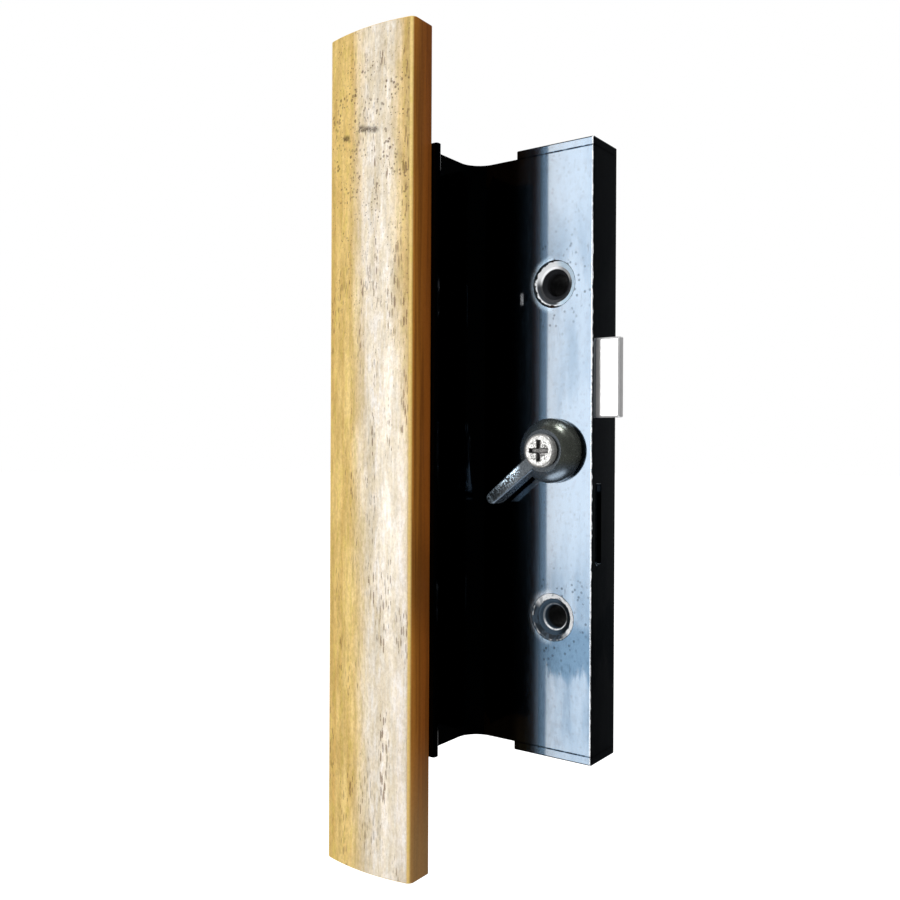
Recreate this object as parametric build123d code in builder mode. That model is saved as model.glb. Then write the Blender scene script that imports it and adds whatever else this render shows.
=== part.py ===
from build123d import *
from math import cos, radians, sin, sqrt, tan
import os

# Inside pull of a surface mounted sliding patio door handle set, in millimetres.
# The origin lies on the door's face, midway between the two mounting holes.
# +X points to the latch edge, +Z up, and the room is on the -Y side of the door.
# Every "distance" below is measured from the door's face out into the room.

# Channel housing of the extrusion
housing_width = 26.3
housing_depth = 14.8
body_length = 179.2
wall = 1.8
housing_edge_radius = 0.6

# Web, stand-off wall and flange of the extrusion
web_run = 16.15
web_thickness = 2.0
root_radius = 7.0
standoff_thickness = 2.2
flange_distance = 42.2
flange_thickness = 2.3
flange_lip = 5.7
flange_width = 28.4
flange_corner_radius = 1.5
flange_edge_radius = 0.7

# Screw ports and case ribs inside the channel
port_radius = 2.3
port_bore_radius = 1.5
port_sink = 0.2
port_distance = 4.6
port_slit = 1.2
rib_reach = 1.6
rib_thickness = 1.0

# Mounting holes, their worn dimples and the spacer sleeves behind them
hole_spacing = 100.0
mount_hole_radius = 5.5
dimple_radius = 7.2
dimple_angle = 119.0
sleeve_radius = 6.5
sleeve_bore_radius = 3.5
sleeve_mouth_radius = 4.7
sleeve_spigot = 0.75
sleeve_fit = 0.05

# Hardwood grip and its screws
grip_length = 247.65
grip_width = 32.4
grip_side = 8.7
grip_crown = 2.0
grip_setback = 1.7
grip_front_radius = 2.0
grip_back_radius = 0.6
grip_end_radius = 0.4
grip_screw_spread = 144.0
grip_screw_count = 3
grip_screw_radius = 2.0
grip_screw_head_radius = 3.8
grip_screw_head_height = 2.4
grip_screw_head_crown = 0.7
grip_screw_bite = 7.2
grip_screw_tip = 1.6
screw_hole_clearance = 0.3
pilot_clearance = 0.05
pilot_extra_depth = 0.6

# End caps and their screws
cap_thickness = 2.6
cap_edge_radius = 0.4
cap_plug_depth = 2.0
cap_fit = 0.25
cap_screw_radius = 1.45
cap_screw_length = 9.0
cap_screw_head_radius = 2.9
cap_screw_hole_radius = 1.65
cap_sink_radius = 3.1
countersink_angle = 90.0

# Thumb-turn: hub, lever, screw and washer
lever_rest_angle = 220.0
lever_turn = 90.0
base_radius = 9.7
base_height = 1.5
base_edge_radius = 0.3
hub_top_radius = 6.3
hub_height = 6.5
hub_bulge = 0.7
lever_length = 22.5
lever_tip_radius = 1.8
lever_root_radius = 2.4
lever_underside = 2.0
lever_tip_rise = 1.0
lever_edge_radius = 0.5
neck_radius = 4.75
running_fit = 0.08
end_play = 0.1
washer_radius = 7.4
washer_bore_radius = 5.1
washer_thickness = 0.4
washer_fit = 0.1
turn_screw_radius = 2.0
turn_screw_head_radius = 5.0
turn_screw_head_height = 2.2
turn_screw_head_edge = 0.8

# Drive cam
boss_side = 5.1
boss_length = 4.5
socket_fit = 0.05
cam_radius = 7.9
cam_flat = 7.3
cam_thickness = 0.8
crank_pin_radius = 1.25
crank_pin_length = 1.6

# Latch and its case
latch_reach = 7.1
latch_thickness = 1.5
latch_gap = 0.2
tongue_low = 9.8
tongue_high = 33.4
tongue_corner_radius = 0.5
lip_depth = 0.7
lip_bend_radius = 0.8
latch_stop_gap = 0.35
latch_yoke_wall = 2.2
latch_foot_wall = 1.3
yoke_side_fit = 0.3
yoke_end_fit = 0.2
slot_end_gap = 0.3
slot_corner_radius = 0.8
case_thickness = 1.2
case_slide_fit = 0.1
case_side_gap = 0.2
case_end_gap = 0.3
case_tab_width = 19.0
case_tab_thickness = 1.2
case_tab_gap = 0.05
guide_fit = 0.15
spring_thickness = 0.4
spring_span = 16.0
spring_touch = 0.02
spring_room = 0.25

# Cross recesses in the screw heads
recess_width_share = 0.24
recess_span_share = 1.15
recess_core_share = 0.2
recess_depth_share = 0.6
recess_taper = 14.0

# Places worked out from the sizes above
half_width = housing_width / 2
inner_half = half_width - wall
inner_face = housing_depth - wall
standoff_right = -half_width - web_run
standoff_left = standoff_right - standoff_thickness
lip_right = standoff_right + flange_lip
flange_left = lip_right - flange_width
flange_inner = flange_distance - flange_thickness
port_x = inner_half - port_radius + port_sink
grip_right = lip_right - grip_setback
grip_left = grip_right - grip_width
grip_x = (grip_left + grip_right) / 2
grip_edge = flange_distance + grip_side
body_end = body_length / 2

# Thumb-turn stack, from the channel's inner face outwards
cam_front = inner_face - end_play
cam_back = cam_front - cam_thickness
boss_end = cam_front + boss_length
hub_base = housing_depth + end_play
hub_top = hub_base + hub_height
neck_end = cam_front
lever_bottom = hub_base + lever_underside
lever_top = hub_height + lever_tip_rise
lever_end = lever_length + lever_tip_radius
lever_bend = (turn_screw_head_radius + hub_top_radius) / 2
lever_slope = lever_tip_rise / (lever_end - lever_bend)
lever_root_top = lever_top - lever_slope * (lever_end + lever_root_radius)

# Latch plane and travel: a quarter turn of the crank moves the latch by its whole reach
latch_front = cam_back - latch_gap
latch_back = latch_front - latch_thickness
latch_tip = half_width + latch_reach
crank_radius = latch_reach / (2 * sin(radians(lever_turn / 2)))
crank_x = crank_radius * sin(radians(lever_turn / 2))
crank_z = -crank_radius * cos(radians(lever_turn / 2))
yoke_half_width = crank_pin_radius + yoke_side_fit
yoke_top = crank_z + crank_pin_radius + yoke_end_fit
yoke_bottom = -crank_radius - crank_pin_radius - yoke_end_fit
latch_inner_end = crank_x - yoke_half_width - latch_yoke_wall
lower_tab_z = min(yoke_bottom - latch_foot_wall - guide_fit, -cam_radius - spring_thickness - spring_room)
latch_low = lower_tab_z + guide_fit
latch_shoulder = inner_half - latch_stop_gap
slot_length = tongue_high - tongue_low + 2 * slot_end_gap
slot_z = (tongue_high + tongue_low) / 2

# Latch case and the ribs that carry it, placed behind the latch
case_front = latch_back - case_slide_fit
rib_front = case_front - case_thickness
rib_distance = rib_front - rib_thickness
slot_width = inner_face - rib_front
case_half_width = inner_half - case_side_gap
case_half_length = hole_spacing / 2 - sleeve_radius - case_end_gap
tab_front = inner_face - case_tab_gap
upper_tab_z = tongue_high + guide_fit


def from_door(distance):
    """Plane parallel to the door at this distance; its x is +X and its y is +Z."""
    return Plane.XZ.offset(distance)


def lever_plane(distance):
    """The same plane turned, so that its x runs along the lever at rest."""
    along = (cos(radians(lever_rest_angle)), 0, sin(radians(lever_rest_angle)))
    return Plane(origin=(0, -distance, 0), x_dir=along, z_dir=(0, -1, 0))


def bar(x_low, x_high, near, far):
    """Rectangle of a cross-section, between two X values and two distances."""
    with Locations(((x_low + x_high) / 2, -(near + far) / 2)):
        Rectangle(x_high - x_low, far - near)


def patch(x_low, x_high, z_low, z_high, mode=Mode.ADD):
    """Rectangle on a plane parallel to the door."""
    with Locations(((x_low + x_high) / 2, (z_low + z_high) / 2)):
        Rectangle(x_high - x_low, z_high - z_low, mode=mode)


def round_corner(sketch, x, y, radius):
    """Rounds the corner of a sketch that lies nearest to a point."""
    fillet(sketch.vertices().sort_by_distance((x, y))[0], radius=radius)


def turn_about(seat, outline):
    """Turned solid on the plane seat; outline is a list of (radius, height) corners."""
    with BuildSketch(Plane(origin=seat.origin, x_dir=seat.x_dir, z_dir=-seat.y_dir)) as profile:
        with BuildLine():
            Polyline(*outline, close=True)
        make_face()
    revolve(profile.sketch, axis=Axis(seat.origin, seat.z_dir))


def cross_recess(seat, shank_radius, head_height):
    """Tapered cross recess, cut into a screw head whose top lies on the plane seat."""
    span = 2 * shank_radius * recess_span_share
    with BuildSketch(seat) as recess:
        Rectangle(span, span * recess_width_share)
        Rectangle(span * recess_width_share, span)
        Circle(span * recess_core_share)
    extrude(recess.sketch, amount=-head_height * recess_depth_share, taper=recess_taper, mode=Mode.SUBTRACT)


def save(builder, name):
    """Labels a finished piece and writes it to its own file."""
    builder.part.label = name
    export_step(builder.part, "parts/" + name + ".step")


os.makedirs("parts", exist_ok=True)

# Handle body: one extrusion, drilled and slotted
with BuildPart() as handle_body:
    with BuildSketch(Plane.XY.offset(-body_end)) as section:
        bar(-half_width, half_width, inner_face, housing_depth)
        bar(-half_width, -inner_half, 0, housing_depth)
        bar(inner_half, half_width, 0, housing_depth)
        bar(standoff_left, -inner_half, housing_depth - web_thickness, housing_depth)
        bar(standoff_left, standoff_right, housing_depth - web_thickness, flange_distance)
        bar(flange_left, lip_right, flange_inner, flange_distance)
        bar(-inner_half, -inner_half + rib_reach, rib_distance, rib_front)
        bar(inner_half - rib_reach, inner_half, rib_distance, rib_front)
        round_corner(section, standoff_right, -housing_depth, root_radius)
        round_corner(section, standoff_left, web_thickness - housing_depth, root_radius + web_thickness)
        round_corner(section, standoff_right, -flange_inner, flange_corner_radius)
        round_corner(section, standoff_left, -flange_inner, flange_corner_radius)
        for edge_x in (flange_left, lip_right):
            round_corner(section, edge_x, -flange_inner, flange_edge_radius)
            round_corner(section, edge_x, -flange_distance, flange_edge_radius)
        round_corner(section, half_width, -housing_depth, housing_edge_radius)
        with Locations((-port_x, -port_distance), (port_x, -port_distance)):
            Circle(port_radius)
        with Locations((-port_x, -port_distance), (port_x, -port_distance)):
            Circle(port_bore_radius, mode=Mode.SUBTRACT)
        for side in (-1, 1):
            with Locations((side * (port_x - port_radius / 2), -port_distance)):
                Rectangle(port_radius, port_slit, mode=Mode.SUBTRACT)
    extrude(amount=body_length)
    with BuildSketch(Plane.YZ.offset(half_width)):
        with Locations((-(inner_face + rib_front) / 2, slot_z), (-(inner_face + rib_front) / 2, -slot_z)):
            RectangleRounded(slot_width, slot_length, radius=slot_corner_radius)
    extrude(amount=-wall, mode=Mode.SUBTRACT)
    with Locations(from_door(housing_depth)):
        Hole(neck_radius + running_fit, depth=wall)
        with Locations((0, -hole_spacing / 2), (0, hole_spacing / 2)):
            CounterSinkHole(mount_hole_radius, dimple_radius, depth=wall, counter_sink_angle=dimple_angle)
    with Locations(from_door(flange_distance)):
        with Locations((grip_x, 0)):
            with GridLocations(grip_width, grip_screw_spread / (grip_screw_count - 1), 1, grip_screw_count):
                Hole(grip_screw_radius + screw_hole_clearance, depth=flange_thickness)
save(handle_body, "handle_body")

# Hardwood grip: a crowned moulding with square sawn ends
with BuildPart() as wood_grip:
    with BuildSketch(Plane.XY.offset(-grip_length / 2)) as moulding:
        with BuildLine():
            ThreePointArc((grip_left, -grip_edge), (grip_x, -grip_edge - grip_crown), (grip_right, -grip_edge))
            Polyline((grip_right, -grip_edge), (grip_right, -flange_distance),
                     (grip_left, -flange_distance), (grip_left, -grip_edge))
        make_face()
        for edge_x in (grip_left, grip_right):
            round_corner(moulding, edge_x, -grip_edge, grip_front_radius)
            round_corner(moulding, edge_x, -flange_distance, grip_back_radius)
    extrude(amount=grip_length)
    ends = wood_grip.faces().group_by(Axis.Z)
    fillet(ends[0].edges() + ends[-1].edges(), radius=grip_end_radius)
    with Locations(Plane(origin=(grip_x, -flange_distance, 0), x_dir=(1, 0, 0), z_dir=(0, 1, 0))):
        with GridLocations(grip_width, grip_screw_spread / (grip_screw_count - 1), 1, grip_screw_count):
            Hole(grip_screw_radius + pilot_clearance, depth=grip_screw_bite + pilot_extra_depth)
save(wood_grip, "wood_grip")

# Screws that hold the grip, driven from the door side of the flange
for place, screw_name in enumerate(("lower_grip_screw", "middle_grip_screw", "upper_grip_screw")):
    screw_z = (place / (grip_screw_count - 1) - 0.5) * grip_screw_spread
    head_top = grip_screw_head_height
    bite = flange_thickness + grip_screw_bite
    head_seat = Plane(origin=(grip_x, -flange_inner, screw_z), x_dir=(1, 0, 0), z_dir=(0, 1, 0))
    with BuildPart() as grip_screw:
        turn_about(head_seat, [
            (0, -bite), (grip_screw_radius, -bite + grip_screw_tip), (grip_screw_radius, 0),
            (grip_screw_head_radius, 0), (grip_screw_head_radius, head_top / 2),
            (grip_screw_head_radius * grip_screw_head_crown, head_top), (0, head_top)])
        cross_recess(head_seat.offset(head_top), grip_screw_radius, head_top)
    save(grip_screw, screw_name)

# End caps: plates with a locating plug, the lower one a mirror image
with BuildPart() as top_end_cap:
    with BuildSketch(Plane.XY.offset(body_end)) as cap_outline:
        bar(-half_width, half_width, 0, housing_depth)
        round_corner(cap_outline, half_width, -housing_depth, housing_edge_radius)
    extrude(amount=cap_thickness)
    fillet(top_end_cap.faces().sort_by(Axis.Z)[-1].edges(), radius=cap_edge_radius)
    plug_half_width = port_x - port_radius - cap_fit
    with BuildSketch(Plane.XY.offset(body_end)):
        bar(-plug_half_width, plug_half_width, wall, inner_face - cap_fit)
    extrude(amount=-cap_plug_depth)
    with Locations(Plane.XY.offset(body_end + cap_thickness)):
        with Locations((-port_x, -port_distance), (port_x, -port_distance)):
            CounterSinkHole(cap_screw_hole_radius, cap_sink_radius, depth=cap_thickness,
                            counter_sink_angle=countersink_angle)
save(top_end_cap, "top_end_cap")

with BuildPart() as bottom_end_cap:
    mirror(top_end_cap.part, about=Plane.XY)
save(bottom_end_cap, "bottom_end_cap")

# Countersunk screws of the end caps
head_rise = (cap_screw_head_radius - cap_screw_radius) / tan(radians(countersink_angle / 2))
for end, end_name in ((1, "top"), (-1, "bottom")):
    for side, side_name in ((-1, "left"), (1, "right")):
        top_face = Plane(origin=(side * port_x, -port_distance, end * (body_end + cap_thickness - cap_fit / 2)),
                         x_dir=(1, 0, 0), z_dir=(0, 0, end))
        with BuildPart() as cap_screw:
            turn_about(top_face, [
                (0, -cap_screw_length), (cap_screw_radius, -cap_screw_length),
                (cap_screw_radius, -head_rise), (cap_screw_head_radius, 0), (0, 0)])
            cross_recess(top_face, cap_screw_radius, head_rise)
        save(cap_screw, end_name + "_cap_screw_" + side_name)

# Spacer sleeves between the front wall and the door, with the spigots in the mounting holes
sleeve_front = inner_face + sleeve_spigot
mouth_depth = sleeve_mouth_radius - sleeve_bore_radius
for end, sleeve_name in ((1, "upper_sleeve"), (-1, "lower_sleeve")):
    door_face = Plane(origin=(0, 0, end * hole_spacing / 2), x_dir=(1, 0, 0), z_dir=(0, -1, 0))
    with BuildPart() as sleeve:
        turn_about(door_face, [
            (sleeve_bore_radius, 0), (sleeve_radius, 0), (sleeve_radius, inner_face),
            (mount_hole_radius - sleeve_fit, inner_face), (mount_hole_radius - sleeve_fit, sleeve_front),
            (sleeve_mouth_radius, sleeve_front), (sleeve_bore_radius, sleeve_front - mouth_depth)])
    save(sleeve, sleeve_name)

# Thumb-turn: slim rising lever, then the domed hub with a neck through the front wall
hub_plane = lever_plane(hub_base)
side_plane = Plane(origin=hub_plane.origin, x_dir=hub_plane.x_dir, z_dir=-hub_plane.y_dir)
with BuildPart() as thumb_turn:
    with BuildSketch(lever_plane(lever_bottom)) as lever_outline:
        Circle(lever_root_radius)
        with Locations((lever_length, 0)):
            Circle(lever_tip_radius)
        make_hull()
    extrude(amount=lever_top - lever_underside)
    with BuildSketch(side_plane):
        with BuildLine():
            Polyline((-lever_root_radius, lever_root_top), (lever_end, lever_top),
                     (-lever_root_radius, lever_top), close=True)
        make_face()
    extrude(amount=lever_root_radius, both=True, mode=Mode.SUBTRACT)
    slope_middle = lever_plane(hub_base + (hub_height + lever_top) / 2).from_local_coords(
        Vector((lever_bend + lever_end) / 2, 0, 0))
    lever_rim = thumb_turn.faces().sort_by_distance(slope_middle)[0].edges().sort_by(
        Axis((0, 0, 0), hub_plane.x_dir))
    fillet(lever_rim[1:], radius=lever_edge_radius)
    with BuildSketch(side_plane):
        with BuildLine():
            Polyline((0, hub_height), (0, neck_end - hub_base), (neck_radius, neck_end - hub_base),
                     (neck_radius, 0), (base_radius, 0), (base_radius, base_height))
            ThreePointArc((base_radius, base_height),
                          ((base_radius + hub_top_radius) / 2 + hub_bulge,
                           (base_height + hub_height) / 2 + hub_bulge),
                          (hub_top_radius, hub_height))
            Line((hub_top_radius, hub_height), (0, hub_height))
        make_face()
    revolve(axis=Axis(hub_plane.origin, hub_plane.z_dir))
    fillet(thumb_turn.edges().filter_by(GeomType.CIRCLE).filter_by(
        lambda edge: abs(edge.radius - base_radius) < running_fit).sort_by(Axis.Y)[-1], radius=base_edge_radius)
    with BuildSketch(hub_plane):
        Circle(washer_radius + washer_fit)
        Circle(neck_radius, mode=Mode.SUBTRACT)
    extrude(amount=washer_thickness - end_play + socket_fit, mode=Mode.SUBTRACT)
    with BuildSketch(lever_plane(neck_end)):
        Rectangle(boss_side + 2 * socket_fit, boss_side + 2 * socket_fit)
    extrude(amount=boss_length + socket_fit, mode=Mode.SUBTRACT)
    with Locations(lever_plane(hub_top)):
        Hole(turn_screw_radius + pilot_clearance, depth=hub_height)
save(thumb_turn, "thumb_turn")

with BuildPart() as thumb_turn_screw:
    turn_about(lever_plane(hub_top), [
        (0, cam_back + cam_thickness / 2 - hub_top), (turn_screw_radius, cam_back + cam_thickness / 2 - hub_top),
        (turn_screw_radius, 0), (turn_screw_head_radius, 0),
        (turn_screw_head_radius, turn_screw_head_height), (0, turn_screw_head_height)])
    head_rim = thumb_turn_screw.edges().filter_by(GeomType.CIRCLE).sort_by(Axis.Y)[0]
    fillet(head_rim, radius=turn_screw_head_edge)
    cross_recess(from_door(hub_top + turn_screw_head_height), turn_screw_radius * sqrt(2), turn_screw_head_height)
save(thumb_turn_screw, "thumb_turn_screw")

with BuildPart() as thumb_turn_washer:
    with BuildSketch(from_door(housing_depth)):
        Circle(washer_radius)
        Circle(washer_bore_radius, mode=Mode.SUBTRACT)
    extrude(amount=washer_thickness)
save(thumb_turn_washer, "thumb_turn_washer")

# Drive cam: thin disc with two flats, a square boss in the hub and a crank pin in the latch
with BuildPart() as drive_cam:
    with BuildSketch(from_door(cam_back)):
        Circle(cam_radius)
        patch(cam_flat, cam_radius, -cam_radius, cam_radius, mode=Mode.SUBTRACT)
        patch(-cam_radius, cam_radius, -cam_radius, -cam_flat, mode=Mode.SUBTRACT)
    extrude(amount=cam_thickness)
    with BuildSketch(lever_plane(cam_front)):
        Rectangle(boss_side, boss_side)
    extrude(amount=boss_length)
    with BuildSketch(from_door(cam_back)):
        with Locations((crank_x, crank_z)):
            Circle(crank_pin_radius)
    extrude(amount=-crank_pin_length)
    with Locations(from_door(boss_end)):
        Hole(turn_screw_radius + pilot_clearance, depth=boss_length + cam_thickness)
save(drive_cam, "drive_cam")

# Latch: flat steel tongue on a foot with the yoke slot, its outer edge bent towards the door
with BuildPart() as latch:
    with BuildSketch(from_door(latch_back)) as latch_outline:
        patch(latch_inner_end, latch_shoulder, latch_low, tongue_high)
        patch(latch_inner_end, latch_tip, tongue_low, tongue_high)
        round_corner(latch_outline, latch_tip, tongue_low, tongue_corner_radius)
        round_corner(latch_outline, latch_tip, tongue_high, tongue_corner_radius)
        with Locations((crank_x, (yoke_top + yoke_bottom) / 2)):
            SlotOverall(yoke_top - yoke_bottom, 2 * yoke_half_width, rotation=90, mode=Mode.SUBTRACT)
    extrude(amount=latch_thickness)
    with BuildSketch(from_door(latch_back)) as lip_outline:
        patch(latch_tip - latch_thickness, latch_tip, tongue_low, tongue_high)
        round_corner(lip_outline, latch_tip, tongue_low, tongue_corner_radius)
        round_corner(lip_outline, latch_tip, tongue_high, tongue_corner_radius)
    extrude(amount=-lip_depth)
    bend = latch.edges().filter_by(Axis.Z).sort_by_distance((latch_tip, -latch_front, slot_z))[0]
    fillet(bend, radius=lip_bend_radius)
save(latch, "latch")

# Latch case: sheet tray held between the ribs and the front wall, with two lanced guide tabs
tab_rise = tab_front - case_front
with BuildPart() as latch_case:
    with BuildSketch(from_door(rib_front)):
        Rectangle(2 * case_half_width, 2 * case_half_length)
        for tab_z, out in ((upper_tab_z, 1), (lower_tab_z, -1)):
            with Locations((0, tab_z + out * (case_tab_thickness + tab_rise / 2))):
                Rectangle(case_tab_width, tab_rise, mode=Mode.SUBTRACT)
    extrude(amount=case_thickness)
    with BuildSketch(from_door(case_front)):
        for tab_z, out in ((upper_tab_z, 1), (lower_tab_z, -1)):
            with Locations((0, tab_z + out * case_tab_thickness / 2)):
                Rectangle(case_tab_width, case_tab_thickness)
        for out in (-1, 1):
            with Locations((0, out * (case_half_length - case_thickness / 2))):
                Rectangle(2 * case_half_width, case_thickness)
    extrude(amount=tab_rise)
save(latch_case, "latch_case")

# Detent spring: bowed leaf between the lower guide tab and the cam's flat
spring_crest = -cam_flat - spring_touch
spring_foot = lower_tab_z + spring_thickness
with BuildPart() as detent_spring:
    with BuildSketch(from_door(cam_back)):
        with BuildLine():
            ThreePointArc((-spring_span / 2, spring_foot), (0, spring_crest), (spring_span / 2, spring_foot))
            Line((spring_span / 2, spring_foot), (spring_span / 2, lower_tab_z))
            ThreePointArc((spring_span / 2, lower_tab_z), (0, spring_crest - spring_thickness),
                          (-spring_span / 2, lower_tab_z))
            Line((-spring_span / 2, lower_tab_z), (-spring_span / 2, spring_foot))
        make_face()
    extrude(amount=cam_thickness)
save(detent_spring, "detent_spring")
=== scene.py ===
"""Dresses the sliding patio door handle set and sets it in a plain studio."""

import math

import bmesh
import bpy
from bpy.props import FloatProperty, FloatVectorProperty, PointerProperty
from mathutils import Matrix, Vector


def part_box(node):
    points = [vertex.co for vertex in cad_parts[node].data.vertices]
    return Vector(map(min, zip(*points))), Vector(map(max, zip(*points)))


bl_info = {
    "name": "Patio Door Handle Dressing",
    "version": (1, 0, 0),
    "blender": (4, 5, 0),
    "location": "View3D > Sidebar > Door Handle",
    "description": "Finishes and studio for a sliding patio door handle set",
    "category": "Object",
}

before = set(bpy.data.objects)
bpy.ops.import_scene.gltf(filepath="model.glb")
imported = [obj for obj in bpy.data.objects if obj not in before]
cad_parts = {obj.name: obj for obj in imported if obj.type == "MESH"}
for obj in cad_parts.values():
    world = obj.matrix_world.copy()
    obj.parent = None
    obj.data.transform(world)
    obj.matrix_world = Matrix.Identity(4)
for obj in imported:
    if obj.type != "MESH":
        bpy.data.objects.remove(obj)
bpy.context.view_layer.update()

GRIP_LOW, GRIP_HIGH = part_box("wood_grip")
BODY_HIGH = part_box("handle_body")[1]
SEAM_HEIGHT = BODY_HIGH.z
SCREW_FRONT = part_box("thumb_turn_screw")[0].y
SLEEVE_LOW, SLEEVE_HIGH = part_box("upper_sleeve")
HOLE_HEIGHT = (SLEEVE_LOW.z + SLEEVE_HIGH.z) / 2
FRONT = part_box("top_end_cap")[0].y
# In front of this depth the wall of a mounting hole shows bare metal with painted highlights
MOUTH_DEPTH = -0.0126
# Left side, right side and height of the two dark dents near the grip's upper end
DENTS = ((-0.0446, -0.0374, 0.0848), (-0.0510, -0.0482, 0.0817))
BLACK = (0.0, 0.0, 0.0)
WHITE = (1.0, 1.0, 1.0)
# Dirt in the body's seams, and painted shade inside the sleeves' bores
DIRT_AND_SHADE = (0.002, 0.002, 0.003)


def colour(label, note, default):
    """A colour setting, in linear light."""
    return FloatVectorProperty(name=label, description=note, subtype="COLOR", size=3,
                               min=0.0, max=1.0, default=default)


def length(label, note, default):
    """A length setting, in metres."""
    return FloatProperty(name=label, description=note, default=default, unit="LENGTH",
                         precision=5)


def share(label, note, default):
    """A setting between nothing and the whole."""
    return FloatProperty(name=label, description=note, default=default, min=0.0, max=1.0,
                         subtype="FACTOR")


def power(label, note, default):
    """A lamp's power, in watts."""
    return FloatProperty(name=label, description=note, default=default, unit="POWER")


class GripFinish(bpy.types.PropertyGroup):
    """Colours and places on the hardwood grip"""

    heart: colour("Golden wood", "Main tone of the varnished hardwood", (0.91, 0.68, 0.27))
    sap: colour("Deep wood", "Darker tone that runs through the grain", (0.80, 0.56, 0.19))
    olive: colour("Olive mottle", "Greenish yellow that mottles the golden wood",
                  (0.78, 0.59, 0.155))
    flank: colour("Flank", "Brown of the milled sides near the front", (0.42, 0.165, 0.021))
    # Painted shade: the sides darken towards the back, where the body shades them.
    shaded_brown: colour("Stain", "Deep brown of the milled sides near the back", (0.28, 0.082, 0.009))
    # Painted light: the sides are paler towards the lower end, where the grip stands clear of the
    # body.
    lit_lower_brown: colour("Sawn end", "Lighter brown of the sides towards the lower end",
                 (0.36, 0.23, 0.09))
    # Painted sheen: this pale band stands in for the varnish's highlight of the softbox.
    painted_highlights: colour("Rubbed band", "Pale wood where the palm has worn it", (0.92, 0.885, 0.85))
    grain: colour("Grain", "What the dark grain leaves of the wood's own tone",
                  (0.90, 0.78, 0.60))
    streak: colour("Streaks", "What the soft streaks leave of it", (0.80, 0.765, 0.67))
    fleck: colour("Flecks", "What the fine flecks leave of it", (0.80, 0.765, 0.71))
    grit: colour("Grit", "What the fine dirt leaves of it", (0.84, 0.81, 0.76))
    pore: colour("Pores", "What the dirt in the open pores leaves of it", (0.40, 0.33, 0.28))
    # Painted shade beside the front's right edge, which turns away from the softbox.
    right_edge_shade: colour("Right edge", "What is left of it beside the front's right edge",
                       (0.88, 0.87, 0.88))
    corner_shade: colour("Corner", "What is left of it along the upper half of that edge",
                   (0.78, 0.78, 0.77))
    # Sides and strength of the band of painted sheen.
    sheen_from: length("Rub begins", "Left side of the palm-worn band, in X", -0.0455)
    sheen_to: length("Rub ends", "Right side of the palm-worn band, in X", -0.0258)
    painted_sheen: share("Rub", "How far the palm-worn band has paled", 0.95)
    varnish: share("Varnish", "Weight of the satin varnish", 0.7)


class MetalFinish(bpy.types.PropertyGroup):
    """Colours and places on the metal pieces and the washer"""

    anodised: colour("Black anodising", "Tint of the haze round what the body mirrors",
                     (0.031, 0.051, 0.074))
    clouded: colour("Clouded anodising", "Tint where the black has gone cloudy",
                    (0.015, 0.027, 0.044))
    gloss: share("Gloss", "Weight of the glossy top of the anodising", 1.0)
    light_edge: length("Light's edge", "Left side of the light that the plate mirrors, in X",
                       -0.0036)
    # In the dimples round the holes and on the sleeves' rims this colour also stands for painted
    # highlights.
    bare: colour("Bare aluminium", "Metal laid bare in dimples, nicks and worn edges",
                 (0.93, 0.95, 0.97))
    cast: colour("Cast zinc", "Dark oiled olive grey of the hub", (0.215, 0.235, 0.205))
    # Painted light: the lever and the hub's left, which face the softbox, take this bluer tone.
    lever: colour("Lever", "Blue-grey of the handled lever", (0.085, 0.122, 0.168))
    # Painted highlight low on the hub.
    lit: colour("Handled hub", "Lighter blue-grey low on the hub", (0.21, 0.27, 0.35))
    # Painted highlights: pits on the lever's upper side and edge, and rims both worn and lit.
    pits_and_highlights: colour("Pits and rims", "Bright metal in the lever's pits and on worn rims",
                   (0.46, 0.58, 0.68))
    # Painted shade on the faces that face front.
    oxide: colour("Oxide", "Dark oxide on what faces front", (0.020, 0.024, 0.028))
    plated: colour("Zinc plate", "Bright plating on the steel pieces", (0.66, 0.66, 0.64))
    # Painted shade with dirt in the screw's recess and middle.
    recess_shade_and_dirt: colour("Screw dirt", "Dirt in the recess of the thumb-turn's screw",
                        (0.018, 0.016, 0.015))
    steel: colour("Latch steel", "Bright satin steel of the latch", (0.86, 0.86, 0.86))
    spring: colour("Spring steel", "Grey of the detent spring", (0.42, 0.43, 0.45))
    nylon: colour("Nylon", "Black of the thumb-turn's washer", (0.010, 0.010, 0.011))
    dust: colour("Dust", "Dust on the washer", (0.024, 0.024, 0.026))
    dark_steel: colour("Blackened steel", "Cap screws and mounting sleeves",
                       (0.020, 0.021, 0.024))
    # Painted reflection: the bare ring's other side, tinted like the light the plate mirrors.
    ring_painted_reflection: colour("Ring shade", "Bare metal round the upper hole on its shaded side",
                       (0.58, 0.74, 0.88))
    # Painted shade, patchy, in the lower hole's dimple and on its sleeve.
    dimple_shade: colour("Ring dirt", "Slate grey in the dimple round the lower hole",
                      (0.045, 0.070, 0.100))
    dimple_reach: length("Dimple reach", "Radius of bare metal round a mounting hole",
                         0.0072)


class StudioSettings(bpy.types.PropertyGroup):
    """Lens, lamps and room"""

    lens: FloatProperty(name="Lens", description="Focal length of the camera",
                        default=37.478, unit="CAMERA")
    softbox_power: power("Softbox power", "Power of the softbox", 8.2)
    softbox_turn: FloatProperty(name="Softbox turn", default=20.9, min=0.0, max=90.0,
                                description="Degrees it stands left of the set's front")
    softbox_rise: length("Softbox rise", "Height of its middle above the set's", -0.055)
    softbox_width: length("Softbox width", "Width of the softbox", 0.30)
    softbox_height: length("Softbox height", "Height of the softbox", 1.12)
    softbox_away: length("Softbox away", "From the set to the softbox", 1.0)
    top_power: power("Top light power", "Power of the light above", 2.4)
    floor_drop: length("Floor drop", "From the grip's lower end down to the floor", 0.04)
    room: share("Room light", "Brightness of the room's even light", 0.50)
    dark_side: share("Room mirror", "What metal mirrors on the camera's side", 0.02)


def darker(tone, part):
    """A colour with only a part of its light."""
    return [channel * part for channel in tone]


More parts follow.
